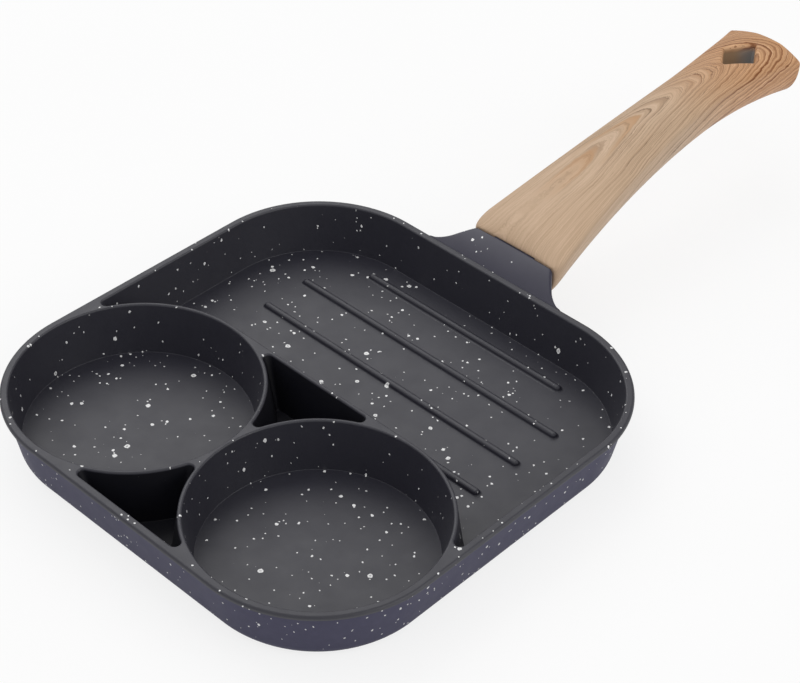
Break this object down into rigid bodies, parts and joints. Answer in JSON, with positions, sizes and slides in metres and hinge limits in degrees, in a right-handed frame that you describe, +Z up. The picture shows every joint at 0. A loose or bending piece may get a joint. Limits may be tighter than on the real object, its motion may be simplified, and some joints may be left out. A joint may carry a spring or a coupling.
{
  "type": "square egg pan",
  "caption": "Square coated egg pan with round wells, a ribbed compartment, small pockets and a wood-look handle with a diamond hanging hole",
  "frame": {"origin": "centre of the flat underside of the pan", "axes": "+Y along the handle, away from the pan; +Z up; +X to the right seen from the wells"},
  "size_m": [0.19, 0.3652, 0.0581],
  "materials": {
    "stone_coating": "satin dark grey non-stick coating with pale specks",
    "wood_look_resin": "satin moulded resin with a pale wood-grain film",
    "zinc_steel": "zinc-plated steel"
  },
  "bodies": {
    "root": {"pan_body": "stone_coating", "handle_grip": "wood_look_resin", "handle_screw": "zinc_steel", "spring_washer": "zinc_steel", "flat_washer": "zinc_steel"}
  },
  "joints": []
}
